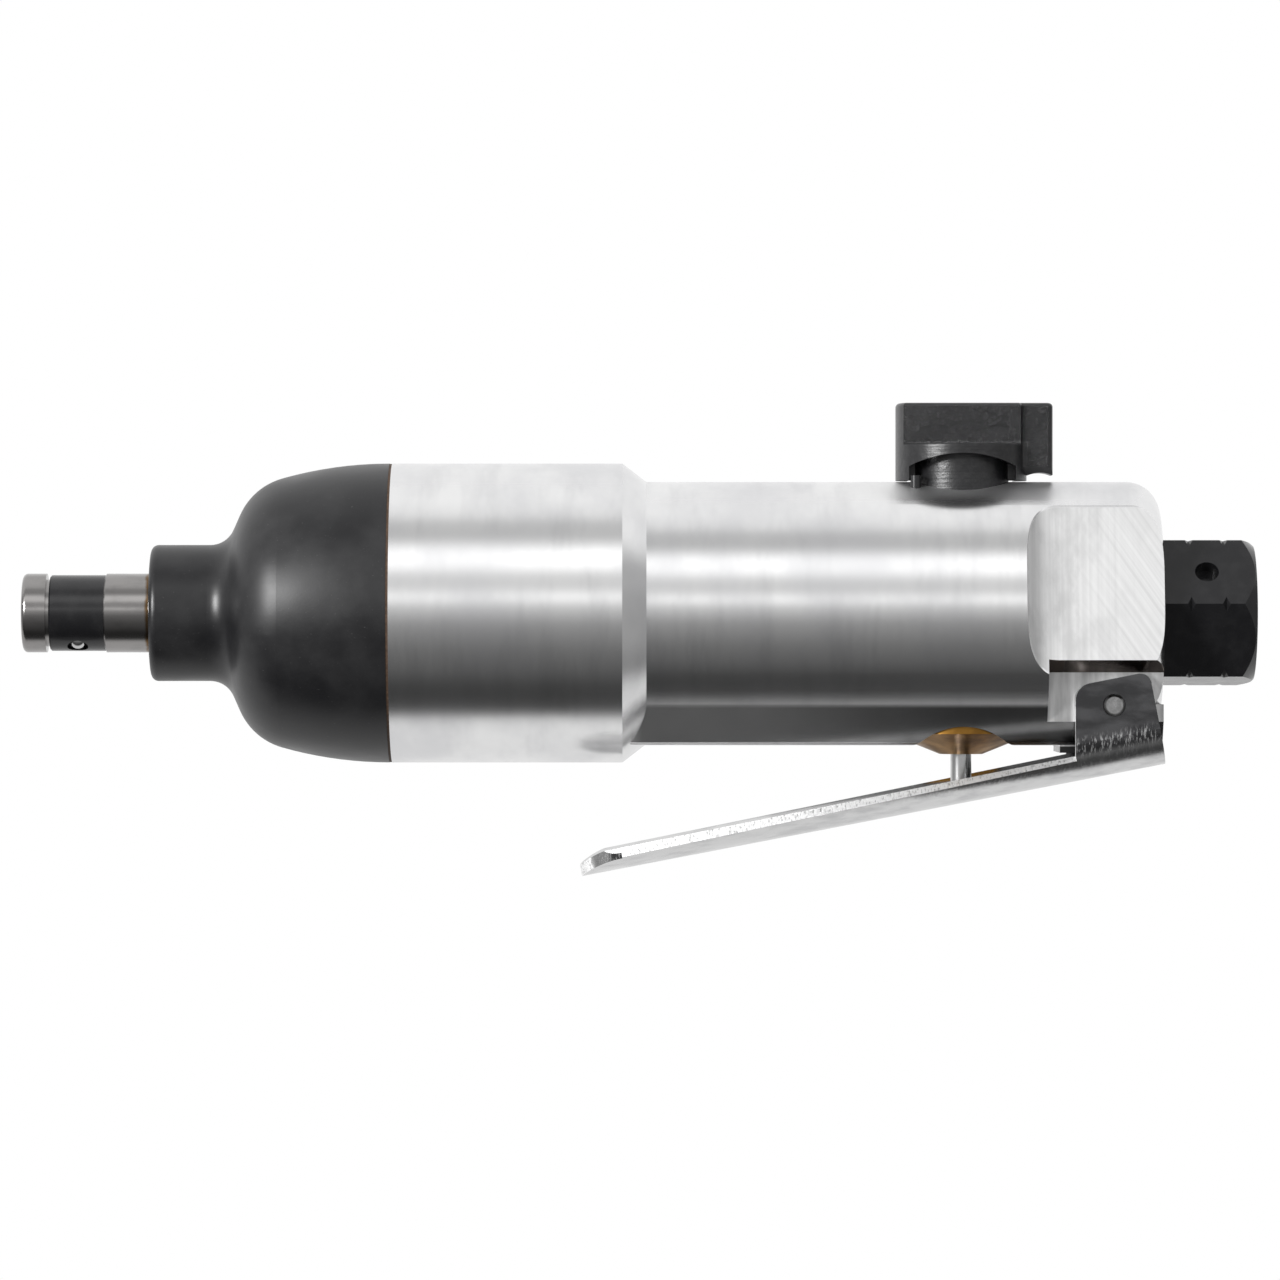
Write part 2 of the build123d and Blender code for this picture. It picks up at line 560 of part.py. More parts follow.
def hammer_cage():
    bore_r = ANVIL_SHOULDER_R + RUNNING_GAP
    cage = rod_x(CAGE_R, CAGE_REAR_X, HAMMER_SPACE_REAR_X)
    cage += rod_x(CAGE_R, HAMMER_SPACE_FRONT_X, CAGE_FRONT_X)
    ring = rod_x(CAGE_R, CAGE_REAR_X, CAGE_FRONT_X)
    ring -= rod_x(CAGE_R - CAGE_BAR_DEPTH, CAGE_REAR_X, CAGE_FRONT_X)
    bar_half_height = CAGE_R * sin(radians(CAGE_BAR_HALF_ANGLE))
    cage += ring & block(CAGE_REAR_X, CAGE_FRONT_X, -CAGE_R, CAGE_R, -bar_half_height, bar_half_height)
    cage -= rod_x(bore_r, HAMMER_SPACE_FRONT_X + 1, CAGE_FRONT_X - 1)
    cage -= hexagon_x(DRIVE_HEX_AF + 2 * STATIC_GAP, HAMMER_SPACE_REAR_X - 1, CAGE_REAR_X + 1, 0)
    for side in (-1, 1):
        pin_z = side * HAMMER_PIN_OFFSET
        cage -= rod_x(HAMMER_PIN_R + STATIC_GAP, CAGE_REAR_X + 1, CAGE_FRONT_X - 1, z=pin_z)
    return cage


def hammer_pins():
    heights = (-HAMMER_PIN_OFFSET, HAMMER_PIN_OFFSET)
    return Compound([rod_x(HAMMER_PIN_R, CAGE_REAR_X, CAGE_FRONT_X, z=z) for z in heights])


def hammer(x0, x1, pivot_side):
    """A ring hammer that swings on the pin at its pivot side and clears the other pin with a notch."""
    body = rod_x(HAMMER_R, x0, x1) + rod_x(HAMMER_LUG_R, x0, x1, z=pivot_side * HAMMER_PIN_OFFSET)
    hole = rod_x(HAMMER_HOLE_R, x0 - 1, x1 + 1)
    start, end = radians(HAMMER_DOG_START), radians(HAMMER_DOG_END)
    for side in (-1, 1):
        wedge = [(0, 0)]
        for angle in (start, end):
            wedge.append((side * HAMMER_R * sin(angle), -pivot_side * HAMMER_R * cos(angle)))
        hole -= prism_x(wedge, x0 - 2, x1 + 2) - rod_x(HAMMER_DOG_R, x0 - 3, x1 + 3)
    body -= hole
    body -= rod_x(HAMMER_PIN_R + RUNNING_GAP, x0 - 1, x1 + 1, z=pivot_side * HAMMER_PIN_OFFSET)
    body -= rod_x(HAMMER_NOTCH_R, x0 - 1, x1 + 1, z=-pivot_side * HAMMER_PIN_OFFSET)
    return body


# Motor

def bearing(x0, x1, shaft_r):
    """A shielded ball bearing: inner race, outer race and the shield between them."""
    inner_r = shaft_r + RUNNING_GAP
    outer_r = BEARING_R
    rings = [
        (outer_r - BEARING_RING, outer_r, 0),
        (inner_r, inner_r + BEARING_RING, 0),
        (inner_r + BEARING_RING + RUNNING_GAP, outer_r - BEARING_RING - RUNNING_GAP, BEARING_SHIELD_RECESS),
    ]
    sense = 1 if x1 > x0 else -1
    races = []
    for low, high, recess in rings:
        start, end = x0 + sense * recess, x1 - sense * recess
        races.append(rod_x(high, start, end) - rod_x(low, start - sense, end + sense))
    return Compound(races)


def rear_end_plate():
    bearing_front_x = MOTOR_REAR_X - BEARING_WIDTH
    plate = rod_x(MOTOR_BORE_R - STATIC_GAP, MOTOR_REAR_X, LINER_REAR_X)
    plate -= rod_x(BEARING_R + STATIC_GAP, MOTOR_REAR_X + 1, bearing_front_x)
    plate -= rod_x(REAR_SHAFT_R + END_GAP, bearing_front_x + 1, LINER_REAR_X - 1)
    return plate - dowel(STATIC_GAP)


def front_end_plate():
    plate = rod_x(MOTOR_BORE_R - STATIC_GAP, LINER_FRONT_X, MOTOR_FRONT_X)
    plate -= rod_x(BEARING_R + STATIC_GAP, FRONT_BEARING_REAR_X, MOTOR_FRONT_X - 1)
    plate -= rod_x(FRONT_SHAFT_R + END_GAP, LINER_FRONT_X + 1, FRONT_BEARING_REAR_X - 1)
    return plate - dowel(STATIC_GAP)


def cylinder_liner():
    liner = rod_x(MOTOR_BORE_R - STATIC_GAP, LINER_REAR_X, LINER_FRONT_X)
    liner -= rod_x(LINER_BORE_R, LINER_REAR_X + 1, LINER_FRONT_X - 1, z=ROTOR_OFFSET)
    middle_x = (LINER_REAR_X + LINER_FRONT_X) / 2
    liner -= rod_y(LINER_PORT_R, -MOTOR_BORE_R, MOTOR_BORE_R, middle_x, 2 * LINER_PORT_R)
    return liner - dowel(STATIC_GAP)


def dowel(clearance=0.0):
    rear_x = MOTOR_REAR_X - BEARING_WIDTH - STATIC_GAP + clearance
    front_x = LINER_FRONT_X - DOWEL_ENTRY - clearance
    return rod_x(DOWEL_R + clearance, rear_x, front_x, z=-DOWEL_OFFSET)


def rotor():
    rear_x = LINER_REAR_X - END_GAP
    front_x = LINER_FRONT_X + END_GAP
    drive_x = MOTOR_FRONT_X - END_GAP
    body = rod_x(ROTOR_R, rear_x, front_x)
    body += rod_x(REAR_SHAFT_R, rear_x, MOTOR_REAR_X - END_GAP)
    body += rod_x(FRONT_SHAFT_R, front_x, drive_x)
    drive_hex = hexagon_x(DRIVE_HEX_AF, drive_x, HAMMER_SPACE_REAR_X + END_GAP, 0)
    body += drive_hex & rod_x(FRONT_SHAFT_R, drive_x, HAMMER_SPACE_REAR_X)
    slot_half = VANE_THICK / 2 + RUNNING_GAP
    slot_floor = VANE_ROOT_R - RUNNING_GAP
    for index in range(VANE_COUNT):
        slot = block(rear_x + 1, front_x - 1, -slot_half, slot_half, slot_floor, ROTOR_R + 1)
        body -= slot.rotate(Axis.X, 360 / VANE_COUNT * index)
    return body


def vanes():
    rear_x = LINER_REAR_X - END_GAP
    front_x = LINER_FRONT_X + END_GAP
    half = VANE_THICK / 2
    blade = block(rear_x, front_x, -half, half, VANE_ROOT_R, VANE_ROOT_R + VANE_HEIGHT)
    return Compound([blade.rotate(Axis.X, 360 / VANE_COUNT * index) for index in range(VANE_COUNT)])


# Throttle

def throttle_cap():
    """A screwed plug with a coned face round the stem's guide."""
    guide_r = STEM_R + RUNNING_GAP
    boss_r = THROTTLE_BORE_R - STATIC_GAP
    face_z = CAP_RIM_Z - (CAP_R - CAP_FLAT_R) * tan(radians(CAP_CONE_ANGLE))
    cap = turned_z([
        (guide_r, SEAT_BOTTOM_Z), (boss_r, SEAT_BOTTOM_Z), (boss_r, CAP_TOP_Z), (CAP_R, CAP_TOP_Z),
        (CAP_R, CAP_RIM_Z), (CAP_FLAT_R, face_z), (guide_r, face_z),
    ], THROTTLE_X)
    groove_half = ORING_WIRE_R + RUNNING_GAP
    groove_r = STEM_R + 2 * (ORING_WIRE_R + RUNNING_GAP) + RUNNING_GAP
    middle_z = (CAP_TOP_Z + SEAT_BOTTOM_Z) / 2
    return cap - rod_z(groove_r, middle_z - groove_half, middle_z + groove_half, THROTTLE_X)


def throttle_oring():
    middle_z = (CAP_TOP_Z + SEAT_BOTTOM_Z) / 2
    return Pos(THROTTLE_X, 0, middle_z) * Torus(STEM_R + ORING_WIRE_R + 2 * RUNNING_GAP, ORING_WIRE_R)


def throttle_seat():
    seat = rod_z(THROTTLE_BORE_R - RUNNING_GAP, SEAT_BOTTOM_Z, SEAT_TOP_Z, THROTTLE_X)
    return seat - rod_z(SEAT_HOLE_R, SEAT_BOTTOM_Z - 1, SEAT_TOP_Z + 1, THROTTLE_X)


def throttle_stem():
    stem = rod_z(STEM_R, STEM_BOTTOM_Z, (VALVE_BOTTOM_Z + VALVE_TOP_Z) / 2, THROTTLE_X)
    return fillet(stem.edges().filter_by(GeomType.CIRCLE).sort_by(Axis.Z)[:1], STEM_END_R)


def throttle_valve():
    valve = rod_z(VALVE_R, VALVE_BOTTOM_Z, VALVE_TOP_Z, THROTTLE_X)
    valve += rod_z(VALVE_GUIDE_R, VALVE_TOP_Z, VALVE_TOP_Z + VALVE_GUIDE_LENGTH, THROTTLE_X)
    socket_top = (VALVE_BOTTOM_Z + VALVE_TOP_Z) / 2 + STATIC_GAP
    return valve - rod_z(STEM_R + STATIC_GAP, VALVE_BOTTOM_Z - 1, socket_top, THROTTLE_X)


def throttle_spring():
    low = VALVE_TOP_Z + THROTTLE_SPRING_WIRE_R + RUNNING_GAP
    high = THROTTLE_BORE_TOP_Z - THROTTLE_SPRING_WIRE_R - RUNNING_GAP
    return coil((THROTTLE_X, 0, low), (0, 0, 1), high - low,
                THROTTLE_SPRING_R, THROTTLE_SPRING_WIRE_R, THROTTLE_SPRING_TURNS)


# Lever

def lever_section(along, flat, outer_r, rim_angle, sheet):
    """The trough's cross-section at one place: a flat web with a bend on each side."""
    angle = radians(rim_angle)
    inner_r = outer_r - sheet

    def point(radius, turn, side):
        return (along, side * (flat + radius * sin(turn)), outer_r - radius * cos(turn))

    def bend(radius, side):
        return ThreePointArc(*[point(radius, turn, side) for turn in (0, angle / 2, angle)])

    edges = [Line(point(radius, 0, -1), point(radius, 0, 1)) for radius in (outer_r, inner_r)]
    for side in (-1, 1):
        edges += [bend(outer_r, side), bend(inner_r, side)]
        edges.append(Line(point(inner_r, angle, side), point(outer_r, angle, side)))
    return make_face(edges)


def lever_handle():
    """The long finger trough, shallower and narrower towards its rounded tip."""
    flat = LEVER_HALF_WIDTH - EAR_BEND_R
    root = lever_section(-EAR_FRONT_FOOT, flat, EAR_BEND_R, RIM_ANGLE_AT_EARS, LEVER_SHEET)
    tip = lever_section(-LEVER_REACH, TIP_FLAT, TIP_ARC_R, RIM_ANGLE_AT_TIP, LEVER_SHEET)
    trough = loft([root, tip], ruled=True)
    corner_x = -LEVER_REACH + TIP_CORNER_R
    corner_y = TIP_FLAT + TIP_ARC_R * sin(radians(RIM_ANGLE_AT_TIP)) - TIP_CORNER_R
    corner = block(-LEVER_REACH - 1, corner_x, corner_y, corner_y + 2 * TIP_CORNER_R, -1, LEVER_DEPTH)
    corner -= rod_z(TIP_CORNER_R, -2, LEVER_DEPTH + 1, corner_x, corner_y)
    return trough - corner - mirror(corner, Plane.XZ)


def lever_ears():
    """The folded rear end: a square channel with two rounded ears."""
    inner_y = LEVER_HALF_WIDTH - LEVER_SHEET
    top = LEVER_DEPTH + EAR_TOP
    front = -EAR_FRONT_FOOT
    rim_height = EAR_BEND_R - (EAR_BEND_R - LEVER_SHEET) * cos(radians(RIM_ANGLE_AT_EARS))
    channel = block(front, LEVER_REAR, -LEVER_HALF_WIDTH, LEVER_HALF_WIDTH, 0, top)
    channel = fillet(channel.edges().filter_by(Axis.X).sort_by(Axis.Z)[:2], EAR_BEND_R)
    inside = block(front - 1, LEVER_REAR + 1, -inner_y, inner_y, LEVER_SHEET, top + 1)
    inside = fillet(inside.edges().filter_by(Axis.X).sort_by(Axis.Z)[:2], EAR_BEND_R - LEVER_SHEET)
    side = prism_y([
        (front, -1), (LEVER_REAR, -1), (LEVER_REAR, top), (-EAR_FRONT_TOP, top), (front, rim_height),
    ], -LEVER_HALF_WIDTH - 1, LEVER_HALF_WIDTH + 1)
    upright = side.edges().filter_by(Axis.Y).sort_by(Axis.Z)[-2:].sort_by(Axis.X)
    side = fillet(upright[:1], EAR_FRONT_CORNER_R)
    upright = side.edges().filter_by(Axis.Y).sort_by(Axis.Z)[-2:].sort_by(Axis.X)
    side = fillet(upright[-1:], EAR_REAR_CORNER_R)
    return (channel - inside) & side


def lever():
    body = lever_handle() + lever_ears()
    hole_r = PIN_R + EAR_HOLE_GAP
    body -= rod_y(hole_r, -LEVER_HALF_WIDTH - 1, LEVER_HALF_WIDTH + 1, 0, LEVER_DEPTH)
    body = Pos(0, 0, -LEVER_DEPTH) * body
    return Pos(PIVOT_X, 0, PIVOT_Z) * Rot(0, -LEVER_SLOPE, 0) * body


def lever_pin():
    pin = rod_y(PIN_R, -PIN_HALF_LENGTH, PIN_HALF_LENGTH, PIVOT_X, PIVOT_Z)
    return chamfer(pin.edges().filter_by(GeomType.CIRCLE), PIN_CHAMFER)


# Reverse knob

def stop_pin_place():
    angle = radians(STOP_PIN_ANGLE)
    return THROTTLE_X - STOP_PIN_RADIUS * cos(angle), -STOP_PIN_RADIUS * sin(angle)


def stop_pin():
    x, y = stop_pin_place()
    return rod_z(STOP_PIN_R, STOP_PIN_TOP_Z - STOP_PIN_LENGTH, STOP_PIN_TOP_Z, x, y)


def knob_window():
    """The arched opening through the base's wall, in front of and behind the neck."""
    low = KNOB_BOTTOM_Z - 1
    left, right = THROTTLE_X - WINDOW_HALF_WIDTH, THROTTLE_X + WINDOW_HALF_WIDTH
    outline = [
        Line((left, low), (left, WINDOW_SPRING_Z)),
        ThreePointArc((left, WINDOW_SPRING_Z), (THROTTLE_X, WINDOW_CROWN_Z), (right, WINDOW_SPRING_Z)),
        Line((right, WINDOW_SPRING_Z), (right, low)),
        Line((right, low), (left, low)),
    ]
    return Plane.XZ * extrude(make_face(outline), amount=2 * KNOB_R, both=True)


def knob_head():
    """The round base with the finger bar on it and the pointer at the rear, before the neck is added."""
    head = rod_z(KNOB_R, KNOB_BOTTOM_Z, KNOB_TOP_Z, THROTTLE_X)
    for side in (-1, 1):
        head -= block(THROTTLE_X - KNOB_R - 1, THROTTLE_X + KNOB_R + 1,
                      side * GRIP_HALF_THICK, side * (KNOB_R + 1), KNOB_BASE_TOP_Z, KNOB_TOP_Z + 1)
    pointer = block(THROTTLE_X, THROTTLE_X + POINTER_REACH, -POINTER_HALF_THICK, POINTER_HALF_THICK,
                    POINTER_BOTTOM_Z, KNOB_TOP_Z)
    pointer = chamfer(pointer.edges().filter_by(Axis.X).sort_by(Axis.Z)[:2], POINTER_BEVEL)
    end = pointer.edges().filter_by(lambda edge: edge.center().X > THROTTLE_X + POINTER_REACH - 0.01)
    pointer = fillet(end.filter_by(Axis.Z), GRIP_CORNER_R)
    notch_x = THROTTLE_X + (KNOB_R + POINTER_REACH) / 2
    notch_z = POINTER_BOTTOM_Z - POINTER_NOTCH_R + POINTER_NOTCH_DEPTH
    pointer -= rod_y(POINTER_NOTCH_R, -KNOB_R, KNOB_R, notch_x, notch_z)
    head += pointer
    top_edges = head.edges().filter_by(lambda edge: abs(edge.bounding_box().min.Z - KNOB_TOP_Z) < 0.01)
    return fillet(top_edges, GRIP_EDGE_R)


def reverse_knob():
    spool_top_z = (WINDOW_CROWN_Z + KNOB_BASE_TOP_Z) / 2
    knob = knob_head() - knob_window() + rod_z(SPOOL_R, SPOOL_BOTTOM_Z, spool_top_z, THROTTLE_X)
    groove_half = ORING_WIRE_R + RUNNING_GAP
    groove_r = SPOOL_R - 2 * ORING_WIRE_R - RUNNING_GAP
    groove = rod_z(SPOOL_R + 1, SPOOL_RING_Z - groove_half, SPOOL_RING_Z + groove_half, THROTTLE_X)
    knob -= groove - rod_z(groove_r, 0, KNOB_TOP_Z, THROTTLE_X)
    air_z = (SPOOL_BOTTOM_Z + SPOOL_RING_Z) / 2
    return knob - rod_y(SPOOL_PORT_R, -SPOOL_R - 1, SPOOL_R + 1, THROTTLE_X, air_z)


def reverse_oring():
    return Pos(THROTTLE_X, 0, SPOOL_RING_Z) * Torus(SPOOL_R - ORING_WIRE_R, ORING_WIRE_R)


def detent_ball_x():
    return THROTTLE_X - SPOOL_R - RUNNING_GAP - DETENT_BALL_R


def detent_ball():
    return Pos(detent_ball_x(), 0, DETENT_Z) * Sphere(DETENT_BALL_R)


def detent_spring():
    rear_x = detent_ball_x() - DETENT_BALL_R - DETENT_WIRE_R - RUNNING_GAP
    length = rear_x - MOTOR_REAR_X - DETENT_WIRE_R - RUNNING_GAP
    return coil((rear_x, 0, DETENT_Z), (-1, 0, 0), length,
                DETENT_BALL_R - 2 * DETENT_WIRE_R, DETENT_WIRE_R, DETENT_TURNS)


PARTS = {
    "housing": housing(),
    "nose_cover": nose_cover(),
    "joint_gasket": joint_gasket(),
    "anvil_bushing": anvil_bushing(),
    "anvil": anvil(),
    "retainer_sleeve": retainer_sleeve(),
    "bit_ball": bit_ball(),
    "hammer_cage": hammer_cage(),
    "hammer_pins": hammer_pins(),
    "hammer_rear": hammer(HAMMER_MIDDLE_X + END_GAP, HAMMER_SPACE_REAR_X - END_GAP, -1),
    "hammer_front": hammer(HAMMER_SPACE_FRONT_X + END_GAP, HAMMER_MIDDLE_X - END_GAP, 1),
    "rotor": rotor(),
    "vanes": vanes(),
    "cylinder_liner": cylinder_liner(),
    "liner_dowel_pin": dowel(),
    "front_end_plate": front_end_plate(),
    "front_bearing": bearing(FRONT_BEARING_REAR_X, MOTOR_FRONT_X, FRONT_SHAFT_R),
    "rear_end_plate": rear_end_plate(),
    "rear_bearing": bearing(MOTOR_REAR_X, MOTOR_REAR_X - BEARING_WIDTH, REAR_SHAFT_R),
    "throttle_cap": throttle_cap(),
    "throttle_oring": throttle_oring(),
    "throttle_seat": throttle_seat(),
    "throttle_stem": throttle_stem(),
    "throttle_valve": throttle_valve(),
    "throttle_spring": throttle_spring(),
    "lever": lever(),
    "lever_pin": lever_pin(),
    "reverse_knob": reverse_knob(),
    "reverse_oring": reverse_oring(),
    "stop_pin": stop_pin(),
    "detent_ball": detent_ball(),
    "detent_spring": detent_spring(),
    "inlet_bushing": inlet_bushing(),
    "inlet_oring": inlet_oring(),
    "inlet_screen": inlet_screen(),
}

os.makedirs("parts", exist_ok=True)
for name, shape in PARTS.items():
    export_step(shape, f"parts/{name}.step")
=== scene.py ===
# Looks of the pneumatic screwdriver: a procedural finish for every node, the studio and the camera.
import bpy
from math import cos, pi, radians, sin
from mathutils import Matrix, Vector


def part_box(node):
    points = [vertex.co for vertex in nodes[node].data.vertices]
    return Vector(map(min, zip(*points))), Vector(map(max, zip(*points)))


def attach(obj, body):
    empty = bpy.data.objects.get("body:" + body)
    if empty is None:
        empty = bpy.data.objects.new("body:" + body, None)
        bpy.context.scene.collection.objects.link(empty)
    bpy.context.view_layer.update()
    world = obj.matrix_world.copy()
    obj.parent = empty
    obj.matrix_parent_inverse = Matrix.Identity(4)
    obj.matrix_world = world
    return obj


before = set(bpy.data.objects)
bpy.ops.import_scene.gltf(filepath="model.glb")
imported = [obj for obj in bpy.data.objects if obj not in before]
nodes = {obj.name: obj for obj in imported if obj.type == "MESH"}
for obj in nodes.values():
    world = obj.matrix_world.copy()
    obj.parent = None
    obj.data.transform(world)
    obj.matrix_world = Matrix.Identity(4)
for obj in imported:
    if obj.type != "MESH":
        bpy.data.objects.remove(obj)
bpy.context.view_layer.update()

MM = 0.001

# Camera, from the photograph: its centre looks at this point of the tool from straight in front
VIEW_X = -85.08 * MM
VIEW_Z = -3.75 * MM
VIEW_DISTANCE = 1.0417
LENS = 210.9
SENSOR = 36.0
CLIP_END = 50.0

# Directions in the part's own space
ALONG = (1, 0, 0)
ACROSS = (0, 1, 0)
UP = (0, 0, 1)
DOWN = (0, 0, -1)
FORWARD = (-1, 0, 0)
SIDES = (-1, 1)

# Places on the tool that a finish needs, in millimetres and degrees
NOSE_FRONT_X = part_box("nose_cover")[0][0] / MM
CASE_REAR_X = -87.5
BARREL_R = 18.2
KNOB_RIDGE_Z = 23.3
POINTER_X = -31.4
PAD_TILT = 12.7
PAD_FLAT_FRONT_X = -27.5
PAD_FRONT_X = -33.5
PAD_SLANT_MARKS_X = PAD_FLAT_FRONT_X + 14.0
PAD_WEAR_FROM_X = -18.0
PAD_WEAR_TO_X = -26.0
EAR_FLAT_Y = 11.1
EAR_FLAT_TOP_Z = -8.2
EAR_FLAT_FRONT_X = -29.1
BOSS_FRONT_X = EAR_FLAT_FRONT_X - 7.0
KEEL_FACET_TILT = 40.5
# The keel's flats get painted shade, weak at the first of these two places and deep at the second
KEEL_SHADE_WEAK_X = -80.0
KEEL_SHADE_DEEP_X = -35.0

# The lever: its slope, and heights across that slope, in millimetres
LEVER_SLOPE = radians(11.04)
LEVER_UP = (-sin(LEVER_SLOPE), 0, cos(LEVER_SLOPE))
FOLD_BOTTOM = -17.6
EAR_BOTTOM = -16.6
FOLD_TOP = -16.4
CRACKS_FADE_FROM = -13.6
CRACKS_FADE_TO = -11.6

# The wall inside the knob, in millimetres; its foot is narrower, to clear the stop pin while the knob turns
KNOB_BASE_R = 9.1
WEB_BOTTOM_Z = 18.4
WEB_FOOT_TOP_Z = 19.15
WEB_TOP_Z = 23.0
WEB_FOOT_HALF_WIDTH = 7.5
WEB_HALF_WIDTH = 8.8
WEB_HALF_THICK = 1.5

# Studio: white above and below, long soft lights above the camera and a dim zone under it.
# Each band is an angle round the tool's axis, 0 towards the camera and 90 straight up, and a brightness.
BANDS = [
    (-180, 0.85), (-132, 0.84), (-110, 0.86), (-97, 0.84), (-89, 0.62), (-85, 0.24), (-79, 0.06),
    (-66, 0.045), (-57, 0.055), (-45, 0.11), (-28, 0.17), (-8, 0.31),
    (0, 0.52), (5, 0.62), (8, 0.95), (11, 1.20), (14, 1.15), (17, 0.80), (21, 0.66), (29, 0.72), (33, 1.10),
    (38, 1.40), (48, 1.40), (54, 0.85), (60, 0.52), (73, 0.60), (81, 0.92), (95, 1.02), (180, 0.95),
]
# Along the axis, from both ends, one level takes over; the limits say how far a direction points along it
END_LEVEL = 0.38
END_FROM = 0.82
END_TO = 0.97

LAMP_PLACE = (-0.92, -0.78, 0.30)
LAMP_SIZE = 0.30
LAMP_POWER = 16.0

# Sockets of the Mix node, which gives several of them the same name
MIX_FACTOR = 0
MIX_VALUES = (2, 3)
MIX_COLOURS = (6, 7)
MIX_VALUE_OUT = 0
MIX_COLOUR_OUT = 2


def grey(level):
    return (level, level, level)


def add_node(tree, kind, **settings):
    made = tree.nodes.new(kind)
    for key, value in settings.items():
        setattr(made, key, value)
    return made


class Finish:
    """A Principled material under construction, with short calls for the nodes that the finishes share."""

    def __init__(self, name, colour, roughness, metallic=0.0, specular=0.5):
        self.material = bpy.data.materials.new(name)
        self.material.use_nodes = True
        self.tree = self.material.node_tree
        self.shader = self.tree.nodes["Principled BSDF"]
        self.shader.inputs["Base Color"].default_value = (*colour, 1)
        self.shader.inputs["Roughness"].default_value = roughness
        self.shader.inputs["Metallic"].default_value = metallic
        self.shader.inputs["Specular IOR Level"].default_value = specular
        self.coords = self.node("ShaderNodeTexCoord")
        self.last_bump = None

    def node(self, kind, **settings):
        return add_node(self.tree, kind, **settings)

    def link(self, source, target):
        self.tree.links.new(source, target)

    def put(self, socket, value):
        """Link a socket, or set a plain value."""
        if isinstance(value, (int, float, tuple)):
            socket.default_value = value
        else:
            self.link(value, socket)

    def noise(self, scale, stretch=(1, 1, 1), detail=4.0, roughness=0.55):
        """Noise in the part's own space; scale is in features per millimetre."""
        mapping = self.node("ShaderNodeMapping")
        mapping.inputs["Scale"].default_value = tuple(scale / MM * s for s in stretch)
        self.link(self.coords.outputs["Object"], mapping.inputs["Vector"])
        texture = self.node("ShaderNodeTexNoise")
        texture.inputs["Scale"].default_value = 1.0
        texture.inputs["Detail"].default_value = detail
        texture.inputs["Roughness"].default_value = roughness
        self.link(mapping.outputs["Vector"], texture.inputs["Vector"])
        return texture.outputs["Fac"]

    def streaks(self, across, spacing, detail=2.0):
        """Fine straight marks: noise that changes along one direction only, spaced in millimetres."""
        texture = self.node("ShaderNodeTexNoise", noise_dimensions="1D")
        texture.inputs["Scale"].default_value = 1.0
        texture.inputs["Detail"].default_value = detail
        self.link(self.dot("Object", tuple(a / (spacing * MM) for a in across)), texture.inputs["W"])
        return texture.outputs["Fac"]

    def dot(self, coordinate, direction):
        """How far the place or the surface normal reaches along a direction."""
        made = self.node("ShaderNodeVectorMath", operation="DOT_PRODUCT")
        made.inputs[1].default_value = direction
        self.link(self.coords.outputs[coordinate], made.inputs[0])
        return made.outputs["Value"]

    def math(self, operation, a, b=0.0):
        made = self.node("ShaderNodeMath", operation=operation)
        self.put(made.inputs[0], a)
        self.put(made.inputs[1], b)
        return made.outputs[0]

    def remap(self, value, low, high, to_low=0.0, to_high=1.0, smooth=True):
        """Move a range of values to another one and clamp what lies outside it."""
        made = self.node("ShaderNodeMapRange", interpolation_type="SMOOTHSTEP" if smooth else "LINEAR")
        made.inputs["From Min"].default_value = low
        made.inputs["From Max"].default_value = high
        made.inputs["To Min"].default_value = to_low
        made.inputs["To Max"].default_value = to_high
        self.put(made.inputs["Value"], value)
        return made.outputs["Result"]

    def mix_value(self, factor, a, b):
        made = self.node("ShaderNodeMix", data_type="FLOAT")
        self.put(made.inputs[MIX_FACTOR], factor)
        for index, value in zip(MIX_VALUES, (a, b)):
            self.put(made.inputs[index], value)
        return made.outputs[MIX_VALUE_OUT]

    def mix_colour(self, factor, a, b):
        made = self.node("ShaderNodeMix", data_type="RGBA")
        self.put(made.inputs[MIX_FACTOR], factor)
        for index, value in zip(MIX_COLOURS, (a, b)):
            self.put(made.inputs[index], (*value, 1) if isinstance(value, tuple) else value)
        return made.outputs[MIX_COLOUR_OUT]

    def place(self, axis):
        """One coordinate of the part's own space, in millimetres."""
        split = self.node("ShaderNodeSeparateXYZ")
        self.link(self.coords.outputs["Object"], split.inputs[0])
        return self.math("DIVIDE", split.outputs["XYZ".index(axis)], MM)

    def reach(self, u, v):
        """Length of a vector with these two components."""
        return self.math("SQRT", self.math("ADD", self.math("MULTIPLY", u, u), self.math("MULTIPLY", v, v)))

    def from_axis(self):
        """Distance from the tool's axis, in millimetres."""
        return self.reach(self.place("Y"), self.place("Z"))

    def both(self, *masks):
        """Where all masks hold."""
        made = masks[0]
        for mask in masks[1:]:
            made = self.math("MULTIPLY", made, mask)
        return made

    def either(self, *masks):
        """Where at least one mask holds."""
        made = masks[0]
        for mask in masks[1:]:
            made = self.math("MAXIMUM", made, mask)
        return made

    def facing(self, direction):
        """How squarely the surface faces a direction fixed to the part, from -1 to 1."""
        return self.dot("Normal", direction)

    def facing_sideways(self):
        """How squarely the surface faces either side, from 0 to 1."""
        return self.math("ABSOLUTE", self.facing(ACROSS))

    def bump(self, height, strength, depth_mm):
        """Add relief; later calls stack on earlier ones."""
        made = self.node("ShaderNodeBump")
        self.put(made.inputs["Strength"], strength)
        made.inputs["Distance"].default_value = depth_mm * MM
        self.put(made.inputs["Height"], height)
        if self.last_bump:
            self.link(self.last_bump, made.inputs["Normal"])
        self.last_bump = made.outputs["Normal"]
        self.link(self.last_bump, self.shader.inputs["Normal"])

    def colour(self, value):
        self.link(value, self.shader.inputs["Base Color"])

    def roughness(self, value):
        self.link(value, self.shader.inputs["Roughness"])


